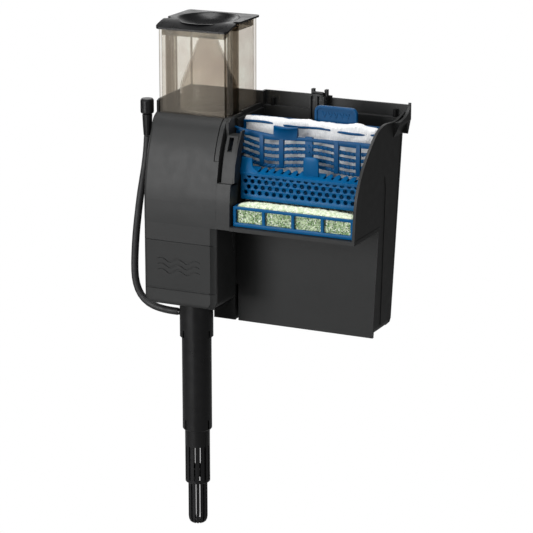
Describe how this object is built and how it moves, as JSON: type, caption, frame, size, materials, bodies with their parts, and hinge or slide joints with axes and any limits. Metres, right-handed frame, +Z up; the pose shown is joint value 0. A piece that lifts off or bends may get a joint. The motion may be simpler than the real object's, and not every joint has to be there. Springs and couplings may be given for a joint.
{
  "type": "hang-on aquarium filter",
  "caption": "Hang-on aquarium filter with a clear skimmer cup, pump column, telescoping intake, hose, and a media box with blue frames, floss and sponge.",
  "frame": {"origin": "on the underside of the spillway floor, where the filter rests on the tank's rim", "axes": "+Z up, +Y away from the tank, +X to the right seen from inside the tank"},
  "size_m": [0.2401, 0.1041, 0.4685],
  "materials": {
    "charcoal": "moulded, fine satin",
    "black": "moulded, satin",
    "blue": "moulded, glossy",
    "smoke": "clear, smoke tinted",
    "floss": "needled polyester floss",
    "sponge": "open-cell foam",
    "carbon": "carbon-filled pad",
    "rubber": "soft, matt",
    "ceramic": "polished",
    "magnet": "sintered",
    "steel": "stainless"
  },
  "bodies": {
    "root": {"media_box": "charcoal", "pump_column": "charcoal", "column_base": "charcoal", "pump_motor": "black", "pump_volute": "black", "impeller_shaft": "ceramic", "front_bush": "ceramic", "rear_bush": "ceramic", "volute_screw_1": "steel", "volute_screw_2": "steel", "venturi_nozzle": "black", "riser_pipe": "charcoal", "reaction_chamber": "charcoal", "air_valve_body": "black", "hose_barb": "black", "air_hose": "rubber", "cover_catch": "charcoal", "catch_pin": "steel", "left_post": "charcoal", "right_post": "charcoal", "cord_grommet": "rubber"},
    "cup": {"collection_cup": "smoke", "foam_cone": "smoke", "cup_seal": "rubber"},
    "lid": {"cup_lid": "black", "lid_seal": "rubber"},
    "pump_door": {"pump_cover": "charcoal"},
    "rotor": {"impeller_magnet": "magnet", "needle_wheel": "black"},
    "valve_cap": {"air_valve_knob": "black"},
    "tube": {"intake_tube": "black"},
    "tube_extension": {"extension_tube": "black"},
    "tube_end": {"strainer": "black"},
    "cartridge": {"cartridge_frame": "blue", "floss_pad": "floss", "carbon_pad": "carbon"},
    "grid": {"media_grid": "blue"},
    "tray": {"bio_grid": "blue"},
    "sponge_holder": {"sponge_frame": "blue", "bio_sponge": "sponge"}
  },
  "joints": [
    {"name": "cup_lift", "type": "slide", "parent": "root", "child": "cup", "axis": [0, 0, 1], "range_m": [0, 0.09]},
    {"name": "lid_lift", "type": "slide", "parent": "cup", "child": "lid", "axis": [0, 0, 1], "range_m": [0, 0.03]},
    {"name": "pump_cover_pull", "type": "slide", "parent": "root", "child": "pump_door", "axis": [0, -1, 0], "range_m": [0, 0.03]},
    {"name": "rotor_spin", "type": "hinge", "parent": "root", "child": "rotor", "pos_m": [-0.1085, -0.027, -0.04], "axis": [1, 0, 0], "continuous": true},
    {"name": "air_valve_turn", "type": "hinge", "parent": "root", "child": "valve_cap", "pos_m": [-0.1515, -0.024, 0.101], "axis": [0, 0, 1], "range_deg": [0, 270]},
    {"name": "tube_pull", "type": "slide", "parent": "root", "child": "tube", "axis": [0, 0, -1], "range_m": [0, 0.03]},
    {"name": "extension_slide", "type": "slide", "parent": "tube", "child": "tube_extension", "axis": [0, 0, 1], "range_m": [0, 0.04]},
    {"name": "strainer_slide", "type": "slide", "parent": "tube_extension", "child": "tube_end", "axis": [0, 0, 1], "range_m": [0, 0.03]},
    {"name": "cartridge_lift", "type": "slide", "parent": "root", "child": "cartridge", "axis": [0, 0, 1], "range_m": [0, 0.09]},
    {"name": "grid_lift", "type": "slide", "parent": "root", "child": "grid", "axis": [0, 0, 1], "range_m": [0, 0.05]},
    {"name": "tray_slide", "type": "slide", "parent": "root", "child": "tray", "axis": [0, -1, 0], "range_m": [0, 0.04]},
    {"name": "sponge_slide", "type": "slide", "parent": "root", "child": "sponge_holder", "axis": [0, -1, 0], "range_m": [0, 0.04]}
  ]
}
